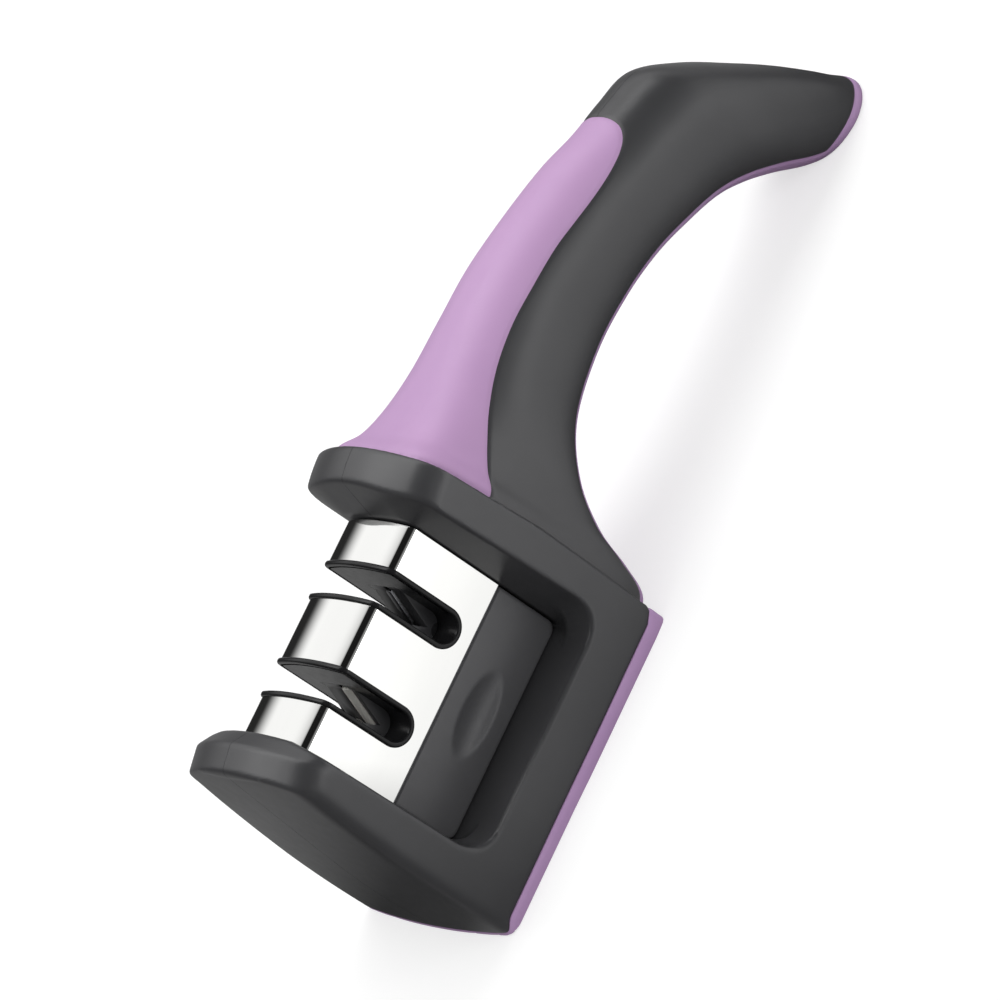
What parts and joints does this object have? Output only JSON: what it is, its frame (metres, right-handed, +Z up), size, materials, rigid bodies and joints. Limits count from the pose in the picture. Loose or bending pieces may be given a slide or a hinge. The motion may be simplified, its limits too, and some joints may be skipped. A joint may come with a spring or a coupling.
{
  "type": "knife sharpener",
  "caption": "Hand-held pull-through knife sharpener: arched handle with soft grip, two-slot steel-covered cartridge that lifts out of the head, carbide and ceramic stages.",
  "frame": {"origin": "centre of the part's length and width, on the table", "axes": "+X from the nose of the head to the tip of the handle, +Y to the left, +Z up from the table"},
  "size_m": [0.2046, 0.0548, 0.069],
  "materials": {
    "dark_abs": "satin",
    "soft_grip": "matt",
    "bright_steel": "mirror polished",
    "plain_steel": "zinc plated",
    "lip_abs": "gloss",
    "carbide": "ground",
    "ceramic": "fine ground ceramic"
  },
  "bodies": {
    "body": {"body_left": "dark_abs", "body_right": "dark_abs", "top_grip": "soft_grip", "sole": "soft_grip", "body_screws": "plain_steel"},
    "cartridge": {"cartridge_left": "dark_abs", "cartridge_right": "dark_abs", "steel_cover": "bright_steel", "coarse_guide": "lip_abs", "fine_guide": "lip_abs", "carbide_holder": "lip_abs", "carbide_plate_front": "carbide", "carbide_plate_back": "carbide", "carbide_screws": "plain_steel", "ceramic_holder": "lip_abs", "ceramic_rod_front": "ceramic", "ceramic_rod_back": "ceramic", "cartridge_screws": "plain_steel", "bottom_plate": "dark_abs", "steady_springs": "plain_steel"}
  },
  "joints": [
    {"name": "cartridge_lift", "type": "slide", "parent": "body", "child": "cartridge", "axis": [0, 0, 1], "range_m": [0, 0.056]}
  ]
}
